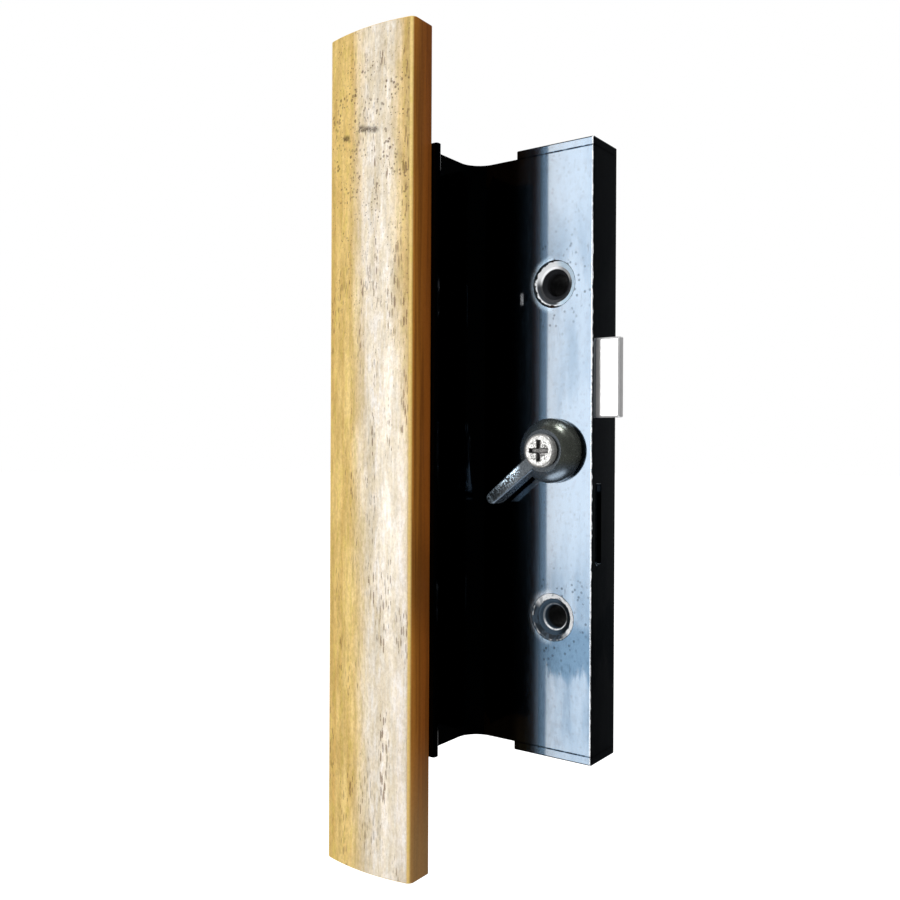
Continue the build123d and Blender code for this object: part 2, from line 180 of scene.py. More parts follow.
class Finish:
    """A finish under construction: each method adds nodes and gives back their output."""

    def __init__(self, name):
        self.material = bpy.data.materials.new(name)
        self.material.use_nodes = True
        self.tree = self.material.node_tree
        self.shader = self.tree.nodes["Principled BSDF"]
        coordinates = self.tree.nodes.new("ShaderNodeTexCoord")
        self.place = coordinates.outputs["Object"]
        self.facing = coordinates.outputs["Normal"]
        self.x, self.y, self.z = self.parts(self.place)

    def put(self, socket, value):
        """Links an output to a socket, or writes a plain value on it."""
        if isinstance(value, bpy.types.NodeSocket):
            self.tree.links.new(value, socket)
        elif socket.type == "RGBA" and len(value) == 3:
            socket.default_value = (*value, 1.0)
        else:
            socket.default_value = value

    def parts(self, vector):
        """The three parts of a vector: X, Y and Z."""
        node = self.tree.nodes.new("ShaderNodeSeparateXYZ")
        self.put(node.inputs[0], vector)
        return tuple(node.outputs)

    def noise(self, steps, detail=3.0, roughness=0.55, distortion=0.0,
              start=(0.0, 0.0, 0.0)):
        """Noise on the object with so many steps a metre along X, Y and Z, from nought to one."""
        point = self.tree.nodes.new("ShaderNodeMapping")
        self.put(point.inputs["Vector"], self.place)
        point.inputs["Scale"].default_value = steps
        point.inputs["Location"].default_value = start
        node = self.tree.nodes.new("ShaderNodeTexNoise")
        self.put(node.inputs["Vector"], point.outputs[0])
        node.inputs["Scale"].default_value = 1.0
        node.inputs["Detail"].default_value = detail
        node.inputs["Roughness"].default_value = roughness
        node.inputs["Distortion"].default_value = distortion
        return node.outputs["Fac"]

    def dots(self, across, up):
        """Distance to scattered points, so many a metre in X and in Z, on all that faces front."""
        spot = self.tree.nodes.new("ShaderNodeCombineXYZ")
        self.put(spot.inputs["X"], self.times(self.x, across))
        self.put(spot.inputs["Y"], self.times(self.z, up))
        node = self.tree.nodes.new("ShaderNodeTexVoronoi")
        node.voronoi_dimensions = "2D"
        self.put(node.inputs["Vector"], spot.outputs[0])
        node.inputs["Scale"].default_value = 1.0
        return node.outputs["Distance"]

    def maths(self, operation, *values):
        """One Math node for each value after the first, or one for a single value."""
        total = values[0]
        for value in values[1:] or (0.0,):
            node = self.tree.nodes.new("ShaderNodeMath")
            node.operation = operation
            self.put(node.inputs[0], total)
            self.put(node.inputs[1], value)
            total = node.outputs[0]
        return total

    def times(self, *values):
        """The product of several values."""
        return self.maths("MULTIPLY", *values)

    def plus(self, *values):
        """The sum of several values."""
        return self.maths("ADD", *values)

    def less(self, first, second):
        """The first value less the second."""
        return self.maths("SUBTRACT", first, second)

    def most(self, *values):
        """The largest of several values."""
        return self.maths("MAXIMUM", *values)

    def rise(self, value, low, high, at_low=0.0, at_high=1.0):
        """Goes smoothly from at_low to at_high as the value goes from low to high."""
        node = self.tree.nodes.new("ShaderNodeMapRange")
        node.interpolation_type = "SMOOTHSTEP"
        self.put(node.inputs["Value"], value)
        self.put(node.inputs["From Min"], low)
        self.put(node.inputs["From Max"], high)
        self.put(node.inputs["To Min"], at_low)
        self.put(node.inputs["To Max"], at_high)
        return node.outputs["Result"]

    def fall(self, value, low, high, at_low=1.0):
        """Goes smoothly from at_low to nothing as the value goes from low to high."""
        return self.rise(value, low, high, at_low, 0.0)

    def band(self, value, low, high, soft):
        """One between two values and nothing outside them, with soft sides."""
        return self.times(self.rise(value, low - soft, low + soft),
                          self.fall(value, high - soft, high + soft))

    def mix(self, factor, first, second, kind="MIX"):
        """Blends two colours."""
        node = self.tree.nodes.new("ShaderNodeMix")
        node.data_type = "RGBA"
        node.blend_type = kind
        self.put(node.inputs["Factor"], factor)
        self.put(node.inputs[6], first)
        self.put(node.inputs[7], second)
        return node.outputs[2]

    def shade(self, factor, tone, left):
        """Multiplies a tone by the colour that is left of white."""
        return self.mix(factor, tone, left, "MULTIPLY")

    def ring(self, height):
        """Distance from the axis of the mounting holes, which lie at plus and minus height."""
        up = self.less(self.maths("ABSOLUTE", self.z), height)
        return self.maths("SQRT", self.plus(self.times(self.x, self.x), self.times(up, up)))

    def worn(self, radius, low, high):
        """Shows the outer edges of a solid, where its rounded and its true normal differ."""
        bevel = self.tree.nodes.new("ShaderNodeBevel")
        bevel.samples = 6
        bevel.inputs["Radius"].default_value = radius
        geometry = self.tree.nodes.new("ShaderNodeNewGeometry")
        dot = self.tree.nodes.new("ShaderNodeVectorMath")
        dot.operation = "DOT_PRODUCT"
        self.put(dot.inputs[0], bevel.outputs["Normal"])
        self.put(dot.inputs[1], geometry.outputs["Normal"])
        return self.fall(dot.outputs["Value"], low, high)

    def bump(self, height, distance, strength=1.0, below=None):
        """A normal roughened by a height, over another normal if one is given."""
        node = self.tree.nodes.new("ShaderNodeBump")
        node.inputs["Strength"].default_value = strength
        node.inputs["Distance"].default_value = distance
        self.put(node.inputs["Height"], height)
        if below is not None:
            self.put(node.inputs["Normal"], below)
        return node.outputs[0]

    def set(self, **values):
        """Writes or links the shader's own sockets, and gives back the material."""
        for name, value in values.items():
            self.put(self.shader.inputs[name.replace("_", " ")], value)
        return self.material


def dress(material, *nodes):
    """Gives CAD nodes a finish."""
    for name in nodes:
        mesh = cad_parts[name].data
        mesh.materials.clear()
        mesh.materials.append(material)


def satin_metal(name, tint, roughness, scratch=0.06, dull=0.12, metallic=1.0):
    """Plain metal with handling marks: fine scratches, a little dullness in patches."""
    metal = Finish(name)
    patches = metal.noise((240, 240, 240), 4.0, 0.6)
    fine = metal.noise((2600, 2600, 420), 2.0, 0.5)
    tone = metal.mix(metal.rise(patches, 0.42, 0.7), tint, darker(tint, 1 - dull * 2))
    rough = metal.plus(metal.rise(patches, 0.35, 0.7, roughness, roughness + dull),
                       metal.rise(fine, 0.45, 0.75, 0.0, scratch))
    return metal.set(Base_Color=tone, Metallic=metallic, Roughness=rough,
                     Normal=metal.bump(fine, 0.00002, 0.25))


class Hardwood(Finish):
    """The grip's wood: grain, a pale band of painted sheen, brown sides with painted shade and
    light, pores and varnish.
    """

    def __init__(self, look):
        super().__init__("varnished_hardwood")
        self.look = look
        sideways, backwards, _ = self.parts(self.facing)
        self.front = self.rise(backwards, -0.90, -0.97)
        self.sides = self.most(self.rise(self.maths("ABSOLUTE", sideways), 0.60, 0.86),
                               self.rise(backwards, 0.2, 0.7))
        # Grain from broad to fine, all drawn out along the grip but the last
        self.broad = self.noise((95, 95, 5), 3.0, 0.5, 0.4)
        self.figure = self.noise((620, 620, 14), 5.0, 0.62, 0.2)
        self.fibre = self.noise((1500, 1500, 46), 4.0, 0.7, start=(3.0, 1.0, 7.0))
        self.mottle = self.noise((820, 820, 200), 3.0, 0.62, start=(2.0, 6.0, 4.0))
        self.grit = self.noise((1600, 1600, 1600), 2.0, 0.6)

    def golden(self):
        """Golden wood with deeper streaks, dark grain and an olive mottle."""
        tone = self.mix(self.rise(self.broad, 0.36, 0.66), self.look.heart, self.look.sap)
        grain = self.most(self.rise(self.figure, 0.42, 0.70, 0.0, 0.65),
                          self.rise(self.fibre, 0.50, 0.72, 0.0, 0.75))
        tone = self.shade(grain, tone, self.look.grain)
        return self.mix(self.rise(self.mottle, 0.46, 0.66, 0.0, 0.7), tone, self.look.olive)

    def painted_highlights(self, tone):
        """Adds a pale band of painted sheen, right of the middle and on the crowned front only."""
        wander = self.times(self.less(self.noise((60, 60, 22)), 0.5), 0.007)
        across = self.plus(self.x, wander)
        left = self.plus(across, self.rise(self.z, -0.05, 0.055, 0.0020, 0.0035))
        right = self.plus(across, self.rise(self.z, -0.075, 0.055, -0.0035, 0.0028),
                          self.rise(self.z, 0.0, 0.07, 0.0, 0.0010))
        sheen_from, sheen_to = self.look.sheen_from, self.look.sheen_to
        # Painted sheen: the band is paled where the varnish mirrors the softbox.
        worn = self.times(self.rise(left, sheen_from, sheen_from + 0.010),
                          self.fall(right, sheen_to - 0.004, sheen_to + 0.0015), self.front,
                          self.rise(self.mottle, 0.36, 0.60, 1.0, 0.76),
                          self.rise(self.fibre, 0.35, 0.65, 1.0, 0.85), self.look.painted_sheen)
        return self.mix(worn, tone, self.look.painted_highlights)

    def browned(self, tone):
        """Turns the flanks, back and ends brown under the varnish, darker towards the back as
        painted shade beside the body, and paler towards the lower end as painted light below it.
        """
        look = self.look
        # Painted shade towards the back, next to the body
        depth = self.rise(self.plus(self.y, self.times(self.broad, 0.004)),
                          GRIP_LOW.y + 0.003, GRIP_HIGH.y)
        brown = self.mix(depth, look.flank, look.shaded_brown)
        brown = self.mix(self.rise(self.figure, 0.42, 0.62, 0.0, 0.6), brown,
                         darker(look.shaded_brown, 0.5))
        wander = self.times(self.broad, 0.03)
        knot = self.times(self.band(self.plus(self.z, wander), -0.034, -0.008, 0.010), 0.45)
        brown = self.mix(knot, brown, darker(look.shaded_brown, 0.35))
        # Painted light towards the lower end, below the body
        end = self.rise(self.less(wander, self.z), 0.095, 0.135, 0.0, 0.62)
        return self.mix(self.sides, tone, self.mix(end, brown, look.lit_lower_brown))

    def shaded(self, tone):
        """Lays soft streaks and fine flecks over the front, and darkens it beside its right edge
        as painted shade.
        """
        look = self.look
        streak = self.noise((330, 330, 52), 3.0, 0.55, start=(1.0, 5.0, 3.0))
        fleck = self.noise((1250, 1250, 560), 3.0, 0.6, start=(4.0, 8.0, 1.0))
        # Painted shade along the upper half of the right edge
        corner_shade = self.rise(self.x, GRIP_HIGH.x - 0.0032, GRIP_HIGH.x - 0.0012)
        for factor, left in (
                (self.rise(streak, 0.38, 0.62), look.streak),
                (self.rise(fleck, 0.43, 0.62, 0.0, 0.65), look.fleck),
                (self.rise(self.x, -0.0335, -0.0285, 0.0, 0.8), look.right_edge_shade),
                (self.times(corner_shade, self.rise(self.z, 0.0, 0.06)), look.corner_shade)):
            tone = self.shade(self.times(factor, self.front), tone, left)
        return tone

    def scattered(self, across, up, size, soft):
        """Ragged marks on the front round scattered points, so many a metre in X and in Z."""
        gap = self.plus(self.less(self.dots(across, up), size),
                        self.times(self.less(self.grit, 0.5), 0.55))
        return self.times(self.fall(gap, -soft, soft), self.front)

    def pores(self):
        """Short pores that follow the grain."""
        crowd = self.noise((190, 190, 34), 2.0, 0.5, start=(9.0, 4.0, 2.0))
        size = self.times(self.rise(crowd, 0.46, 0.66, 0.0, 0.33),
                          self.rise(self.x, -0.052, -0.038, 0.70, 1.0))
        return self.times(self.scattered(1150, 210, size, 0.09),
                          self.rise(self.figure, 0.34, 0.62, 0.25, 1.0))

    def specks(self):
        """Dirt specks, most of them near the upper end."""
        crowd = self.noise((240, 240, 200), 2.0)
        size = self.times(self.rise(crowd, 0.42, 0.68, 0.05, 0.31),
                          self.rise(self.z, 0.060, 0.090, 0.45, 1.0),
                          self.rise(self.z, 0.104, 0.118, 1.0, 0.35))
        return self.times(self.scattered(680, 640, size, 0.05),
                          self.rise(self.z, 0.0, 0.070),
                          self.rise(self.fibre, 0.40, 0.60, 0.35, 1.0))

    def dents(self):
        """The dark dents, ragged and a little aslant."""
        ragged = self.less(self.noise((800, 800, 800)), 0.5)
        across = self.plus(self.x, self.times(ragged, 0.003))
        level = self.plus(self.z, self.times(self.x, 0.22), self.times(ragged, 0.0018))
        soft = 0.0007
        return self.most(*(
            self.times(self.band(across, left, right, soft),
                       self.band(level, height - soft, height + soft, soft),
                       self.rise(self.grit, 0.35, 0.55, 0.6, 1.0), self.front)
            for left, right, height in DENTS))

    def varnished(self, tone, marks):
        """Varnishes the wood: thin on the sides and in marks, and on the upper right."""
        height = self.less(self.times(self.fibre, 0.5), marks)
        gold = self.times(self.rise(self.x, -0.037, -0.031), self.rise(self.z, 0.0, 0.05))
        weight = self.times(self.rise(self.sides, 0.0, 1.0, self.look.varnish, 0.06),
                            self.rise(gold, 0.0, 1.0, 1.0, 0.15),
                            self.rise(marks, 0.0, 0.7, 1.0, 0.25))
        return self.set(Base_Color=tone, Roughness=self.rise(self.fibre, 0.3, 0.7, 0.42, 0.58),
                        Normal=self.bump(height, 0.00012, 0.5), IOR=1.5,
                        Specular_IOR_Level=self.rise(self.sides, 0.0, 1.0, 0.35, 0.10),
                        Coat_Weight=weight, Coat_Roughness=0.18,
                        Coat_Normal=self.bump(height, 0.00003, 0.3))


class DressGrip(bpy.types.Operator):
    """Varnished hardwood with open pores, a palm-worn band and brown flanks"""

    bl_idname = "door_handle.grip"
    bl_label = "Hardwood grip"

    def execute(self, context):
        look = context.scene.door_handle_grip
        wood = Hardwood(look)
        tone = wood.shaded(wood.browned(wood.painted_highlights(wood.golden())))
        specks = wood.specks()
        marks = wood.most(wood.pores(), wood.times(specks, 0.85))
        tone = wood.shade(marks, tone, look.pore)
        tone = wood.shade(wood.most(wood.times(specks, 0.4), wood.dents()), tone,
                          darker(look.pore, 0.4))
        tone = wood.shade(wood.rise(wood.grit, 0.35, 0.65, 0.0, 0.5), tone, look.grit)
        dress(wood.varnished(tone, marks), "wood_grip")
        return {"FINISHED"}


class Anodising(Finish):
    """The black of the body and its caps: gloss, dull bands, marks and bare metal."""

    def __init__(self, name, look):
        super().__init__(name)
        self.look = look
        self.haze = self.noise((130, 130, 26), 4.0, 0.6)
        self.blotch = self.noise((620, 620, 420), 4.0, 0.65)
        self.chips = self.noise((900, 900, 520))
        self.reach = self.ring(HOLE_HEIGHT)

    def in_front(self, depth, soft):
        """One in front of a depth and nothing behind it."""
        return self.rise(self.y, depth + soft, depth)

    def black(self):
        """The tint of the black, turned to black as painted shade left of the mirrored light,
        where the grip hides the softbox, with a strip of partial painted shade along that edge.
        """
        tint = self.mix(self.rise(self.blotch, 0.48, 0.75, 0.0, 0.35), self.look.anodised,
                        self.look.clouded)
        edge = self.look.light_edge
        shade_strip = self.times(self.rise(self.x, edge - 0.0054, edge - 0.0036, 0.15, 0.62),
                           self.fall(self.x, edge - 0.0016, edge),
                           self.rise(self.z, -0.06, -0.02, 0.6, 1.0))
        # Painted shade left of the mirrored light
        left = self.fall(self.x, edge - 0.0114, edge - 0.0064, 0.88)
        return self.mix(self.most(left, shade_strip), tint, BLACK)

    def dulled(self):
        """Where handling has dulled the gloss, in bands across the plate and in patches."""
        level = self.plus(self.z, self.times(self.less(self.haze, 0.5), 0.034))
        bands = self.most(self.band(level, -0.067, -0.049, 0.007),
                          self.times(self.rise(level, -0.012, -0.042), 0.42),
                          self.times(self.band(level, 0.050, 0.072, 0.010), 0.28),
                          self.times(self.band(level, 0.020, 0.050, 0.010), 0.22))
        patches = self.rise(self.haze, 0.36, 0.66, -0.12, 0.22)
        return self.rise(self.plus(bands, patches), 0.0, 1.0)

    def marks(self):
        """Dark specks that gather round the holes, and hair scratches anywhere."""
        near = self.rise(self.reach, 0.0075, 0.020, 0.85, 0.2)
        crowd = self.rise(self.noise((300, 300, 300)), 0.40, 0.54)
        specks = self.times(self.rise(self.dots(430, 410), 0.22, 0.10), near, crowd)
        hair = self.noise((1300, 1300, 160), 2.0, start=(5.0, 2.0, 8.0))
        return self.most(specks, self.rise(hair, 0.66, 0.74, 0.0, 0.35))

    def worn_edge(self):
        """Bare metal along the front's right edge, widest in the two stretches that get knocks."""
        knocked = self.most(self.band(self.z, 0.022, 0.062, 0.004),
                            self.band(self.z, -0.036, -0.002, 0.006))
        across = self.less(self.x, self.times(
            knocked, self.rise(self.chips, 0.50, 0.62), 0.00014))
        chipped = self.plus(self.chips, self.times(knocked, 0.12))
        return self.times(self.rise(self.x, BODY_HIGH.x - 0.0007, BODY_HIGH.x - 0.0005),
                          self.fall(across, BODY_HIGH.x - 0.00035, BODY_HIGH.x - 0.00020),
                          self.in_front(FRONT + 0.0002, 0.0004),
                          self.rise(chipped, 0.44, 0.60, 0.45, 0.85))

    def bared(self):
        """How far the metal is bare, and its tone."""
        return self.worn_edge(), self.look.bare

    def seam(self):
        """Dirt in the seams between the body and its caps."""
        return self.times(self.band(self.maths("ABSOLUTE", self.z), SEAM_HEIGHT - 0.0002,
                                    SEAM_HEIGHT + 0.0002, 0.00018),
                          self.rise(self.chips, 0.38, 0.50, 0.45, 1.0))

    def polished(self, tone, bare, seam, marks):
        """Lays the gloss over the black, and hardly any left of the mirrored light."""
        edge = self.look.light_edge
        gloss = self.times(self.rise(bare, 0.0, 0.5, self.look.gloss, 0.0),
                           self.fall(seam, 0.0, 0.5), self.less(1.0, self.dulled()),
                           self.rise(self.x, edge - 0.0048, edge - 0.0014, 0.08, 1.0),
                           self.rise(marks, 0.0, 1.0, 1.0, 0.3))
        rough = self.plus(self.rise(self.blotch, 0.40, 0.75, 0.11, 0.14),
                          self.times(bare, 0.25))
        wave = self.bump(self.noise((90, 90, 30), 2.0, 0.5), 0.00001, 0.12)
        fine = self.bump(self.plus(self.blotch, marks), 0.000006, 0.25, wave)
        return self.set(Base_Color=tone, Metallic=self.rise(bare, 0.0, 1.0, 1.0, 0.1),
                        Roughness=rough, Normal=fine, Coat_Weight=gloss,
                        Coat_Roughness=0.025, Coat_Normal=wave, Coat_IOR=1.62)


class DrilledAnodising(Anodising):
    """The body's black, bare round the two mounting holes where screw heads have worn it, with
    painted highlights, painted reflection and painted shade there.
    """

    def __init__(self, name, look):
        super().__init__(name, look)
        self.ragged = self.times(self.less(self.noise((700, 700, 700)), 0.5), 0.0016)
        self.upper = self.rise(self.z, -0.001, 0.001)
        self.lower = self.less(1.0, self.upper)
        # The left half of the upper hole's ring, whose rim is ragged
        self.ring_left = self.times(self.upper, self.fall(self.x, -0.0005, 0.0030))
        self.ring_reach = self.plus(self.reach, self.times(
            self.ring_left, self.plus(self.ragged, 0.0005)))

    def bared(self):
        """Adds the holes and one scratch to the worn edge."""
        edge, _ = super().bared()
        return self.most(edge, self.painted_highlights()), self.ring_tone()

    def painted_highlights(self):
        """Where the metal is bare round the holes, with a faint painted halo of light left of
        each, and along one scratch.
        """
        radius = self.look.dimple_reach
        mouth = self.in_front(MOUTH_DEPTH, 0.0006)
        dimples = self.times(self.fall(self.ring_reach, radius - 0.0003, radius), mouth)
        # Painted highlight: a faint halo of light left of each hole, stronger round the upper one
        light_halo = self.times(self.fall(self.reach, 0.0068, 0.0092, 0.20),
                          self.fall(self.x, -0.0020, 0.0005),
                          self.rise(self.z, -0.001, 0.001, 0.5, 1.0), mouth)
        scratch = self.times(self.band(self.x, -0.0118, -0.0106, 0.0003),
                             self.band(self.z, 0.0445, 0.0482, 0.0006), 0.35,
                             self.in_front(FRONT + 0.0001, 0.0004))
        return self.most(dimples, light_halo, scratch)

    def ring_tone(self):
        """The bare metal's tone: a painted highlight on one side of each ring, painted reflection
        on the upper ring's other side and patchy painted shade on the lower's.
        """
        look = self.look
        radius = look.dimple_reach
        # Painted highlights: the upper ring's left rim, the lower ring's upper right and its outer
        # rim
        upper_rim = self.times(self.ring_left, self.fall(self.ring_reach, radius, radius + 0.0002))
        lower_right = self.times(
            self.lower, self.rise(self.plus(self.x, self.z, HOLE_HEIGHT), -0.0035, 0.0010),
            self.rise(self.plus(self.reach, self.ragged), 0.0054, 0.0058),
            self.rise(self.chips, 0.36, 0.48, 0.45, 1.0))
        lower_rim = self.times(self.lower, self.rise(self.reach, 0.0066, 0.0069),
                               self.rise(self.chips, 0.45, 0.55, 0.0, 0.6))
        # Painted shade in the lower ring, patchy; painted reflection in the upper ring and beyond
        slate = self.mix(self.rise(self.chips, 0.42, 0.58), look.dimple_shade,
                         darker(look.dimple_shade, 0.3))
        shaded = self.mix(self.upper, slate, look.ring_painted_reflection)
        shaded = self.mix(self.rise(self.reach, radius - 0.0002, radius), shaded,
                          look.ring_painted_reflection)
        tone = self.mix(self.most(upper_rim, lower_right, lower_rim), shaded, look.bare)
        # Low on its left the upper dimple is bright along its rim only, and darker inside as
        # painted shade
        sunk_shade = self.times(
            self.upper, self.fall(self.reach, 0.0060, 0.0064),
            self.fall(self.z, HOLE_HEIGHT - 0.0005, HOLE_HEIGHT + 0.0030, 0.97),
            self.fall(self.x, 0.0, 0.0020))
        tone = self.mix(sunk_shade, tone, darker(look.dimple_shade, 0.3))
        return self.mix(self.rise(self.reach, 0.0095, 0.0100), tone, look.bare)


class DressBody(bpy.types.Operator):
    """Black anodised extrusion, bare round its holes with painted highlights and shade there, and
    along its front edge
    """

    bl_idname = "door_handle.body"
    bl_label = "Anodised body and caps"

    def execute(self, context):
        look = context.scene.door_handle_metal
        for coat, nodes in (
                (DrilledAnodising("black_anodising", look), ("handle_body",)),
                (Anodising("black_cap_anodising", look), ("top_end_cap", "bottom_end_cap"))):
            marks, seam = coat.marks(), coat.seam()
            bare, metal = coat.bared()
            tone = coat.mix(marks, coat.black(), darker(look.anodised, 0.35))
            tone = coat.mix(seam, coat.mix(bare, tone, metal), DIRT_AND_SHADE)
            dress(coat.polished(tone, bare, seam, marks), *nodes)
        return {"FINISHED"}


class DressTurn(bpy.types.Operator):
    """Dark cast thumb-turn, bright on its rims as a painted highlight, with its plated screw"""

    bl_idname = "door_handle.turn"
    bl_label = "Thumb-turn"

    def execute(self, context):
        look = context.scene.door_handle_metal
        dress(self.cast_zinc(look), "thumb_turn")
        dress(self.screw_head(look), "thumb_turn_screw")
        dress(satin_metal("zinc_plate", look.plated, 0.24), "drive_cam", "latch_case",
              "upper_grip_screw", "middle_grip_screw", "lower_grip_screw")
        return {"FINISHED"}

    def cast_zinc(self, look):
        """The hub is olive on its right and bluer on its left as painted light, as is the lever,
        lighter low down as a painted highlight and darker where it faces front as painted shade.
        """
        cast = Finish("dark_cast_zinc")
        grain = cast.noise((1500, 1500, 1500), 3.0, 0.6)
        patch = cast.noise((260, 260, 260), 3.0, 0.5)
        fine = cast.noise((2400, 2400, 2400), 2.0, 0.5)
        # Painted light: bluer towards the left, which faces the softbox
        tone = cast.mix(cast.rise(cast.x, -0.006, 0.004), look.lever, look.cast)
        tone = cast.mix(cast.rise(patch, 0.40, 0.65, 0.0, 0.5), tone, darker(look.cast, 0.6))
        # Painted highlight low on the hub
        tone = cast.mix(cast.fall(cast.z, -0.0060, -0.0025, 0.8), tone, look.lit)
        backwards = cast.parts(cast.facing)[1]
        # Painted shade on what faces front
        tone = cast.mix(cast.rise(backwards, -0.90, -0.985), tone, look.oxide)
        # The lever points down to the left: across is how far above its middle line a place is
        across = cast.plus(cast.times(cast.x, -0.642), cast.times(cast.z, 0.766))
        from_axis = cast.ring(0.0)
        lever = cast.rise(from_axis, 0.0085, 0.0115)
        border = cast.most(cast.rise(across, 0.0007, 0.0014),
                           cast.rise(from_axis, 0.0215, 0.0235))
        # Painted highlights: pits on the lever's upper half, its upper edge and tip, and on worn
        # rims
        pits = cast.times(lever, cast.rise(cast.plus(fine, cast.times(border, 0.12)),
                                           0.52, 0.62, 0.0, 0.85),
                          cast.most(cast.rise(across, -0.0010, 0.0012, 0.12, 1.0),
                                    cast.times(border, 0.7)))
        rims = cast.times(cast.worn(0.0005, 0.80, 0.95), cast.rise(fine, 0.44, 0.58, 0.15, 0.9),
                          cast.rise(lever, 0.0, 1.0, 0.35, 1.0))
        tone = cast.mix(cast.most(pits, rims), tone, look.pits_and_highlights)
        return cast.set(Base_Color=tone, Metallic=0.8,
                        Roughness=cast.rise(grain, 0.35, 0.7, 0.22, 0.32),
                        Normal=cast.bump(grain, 0.00003, 0.4))

    def screw_head(self, look):
        """The screw's face is bright; its middle and its recess are darkened as painted shade,
        speckled with dirt and bright specks.
        """
        head = Finish("bright_screw_head")
        grit = head.noise((2900, 2900, 2900), 3.0, 0.6)
        inner = head.fall(head.ring(0.0), 0.0030, 0.0037)
        # Painted shade darkens the head's middle and its recess, in specks
        dirt = head.times(head.rise(inner, 0.0, 1.0, 0.45, 0.92), head.rise(grit, 0.46, 0.56))
        sunk_shade = head.rise(head.y, SCREW_FRONT + 0.0001, SCREW_FRONT + 0.0006)
        recess = head.times(inner, sunk_shade, head.rise(grit, 0.40, 0.60, 1.0, 0.3))
        tone = head.mix(head.rise(grit, 0.35, 0.65), look.plated, darker(look.plated, 0.8))
        tone = head.mix(head.most(dirt, recess), tone, look.recess_shade_and_dirt)
        return head.set(Base_Color=tone, Metallic=0.55,
                        Roughness=head.rise(grit, 0.3, 0.7, 0.30, 0.42),
                        Normal=head.bump(grit, 0.00004, 0.5))


class DressSmallPieces(bpy.types.Operator):
    """Latch, sleeves, cap screws, washer and detent spring"""

    bl_idname = "door_handle.small_pieces"
    bl_label = "Latch and small pieces"

    def execute(self, context):
        look = context.scene.door_handle_metal
        dress(satin_metal("satin_latch_steel", look.steel, 0.30, dull=0.04, metallic=0.5),
              "latch")
        dress(satin_metal("blackened_steel", look.dark_steel, 0.30), "top_cap_screw_left",
              "top_cap_screw_right", "bottom_cap_screw_left", "bottom_cap_screw_right")
        dress(satin_metal("grey_spring_steel", look.spring, 0.25), "detent_spring")
        dress(self.sleeve_steel(look), "upper_sleeve", "lower_sleeve")
        dress(self.dusty_nylon(look), "thumb_turn_washer")
        return {"FINISHED"}

    def sleeve_steel(self, look):
        """Blackened, with painted shade on the lower sleeve's face and inside both bores, and the
        screws' wear on both rims, brighter on one side as a painted highlight.
        """
        steel = Finish("sleeve_steel")
        patch = steel.noise((700, 700, 700), 3.0, 0.6)
        reach = steel.ring(HOLE_HEIGHT)
        upper = steel.rise(steel.z, -0.01, 0.01)
        lower = steel.less(1.0, upper)
        # Painted highlights: the lower sleeve's mouth is brightest low down, the upper sleeve's
        # rim on its upper left
        mouth = steel.times(
            steel.band(reach, 0.0037, 0.0041, 0.0001), lower,
            steel.rise(steel.z, -HOLE_HEIGHT - 0.0025, -HOLE_HEIGHT - 0.0005, 1.0, 0.25),
            steel.rise(patch, 0.36, 0.50, 0.4, 1.0))
        rim = steel.times(
            steel.rise(reach, 0.0045, 0.0048), steel.rise(steel.y, -0.0121, -0.0125), upper,
            steel.rise(steel.x, -0.0005, 0.0030, 1.0, 0.25),
            steel.rise(steel.z, HOLE_HEIGHT - 0.0005, HOLE_HEIGHT + 0.0025, 0.03, 1.0))
        # Painted shade inside the bores and on the lower sleeve's face, darker on its right
        bore_shade = steel.rise(steel.y, -0.0122, -0.0100)
        face = steel.mix(steel.rise(steel.x, 0.0005, 0.0035), look.dimple_shade,
                         darker(look.dimple_shade, 0.12))
        tone = steel.mix(bore_shade, steel.mix(lower, look.dark_steel, face), DIRT_AND_SHADE)
        tone = steel.mix(steel.most(mouth, rim), tone, look.bare)
        return steel.set(Base_Color=tone, Metallic=steel.fall(bore_shade, 0.0, 1.0, 0.2),
                         Specular_IOR_Level=0.05,
                         Roughness=steel.rise(patch, 0.3, 0.7, 0.45, 0.62))

    def dusty_nylon(self, look):
        """Dull black plastic with a little dust."""
        nylon = Finish("dusty_nylon")
        dust = nylon.noise((900, 900, 900))
        return nylon.set(Base_Color=nylon.mix(dust, look.nylon, look.dust),
                         Roughness=nylon.rise(dust, 0.3, 0.7, 0.42, 0.60))


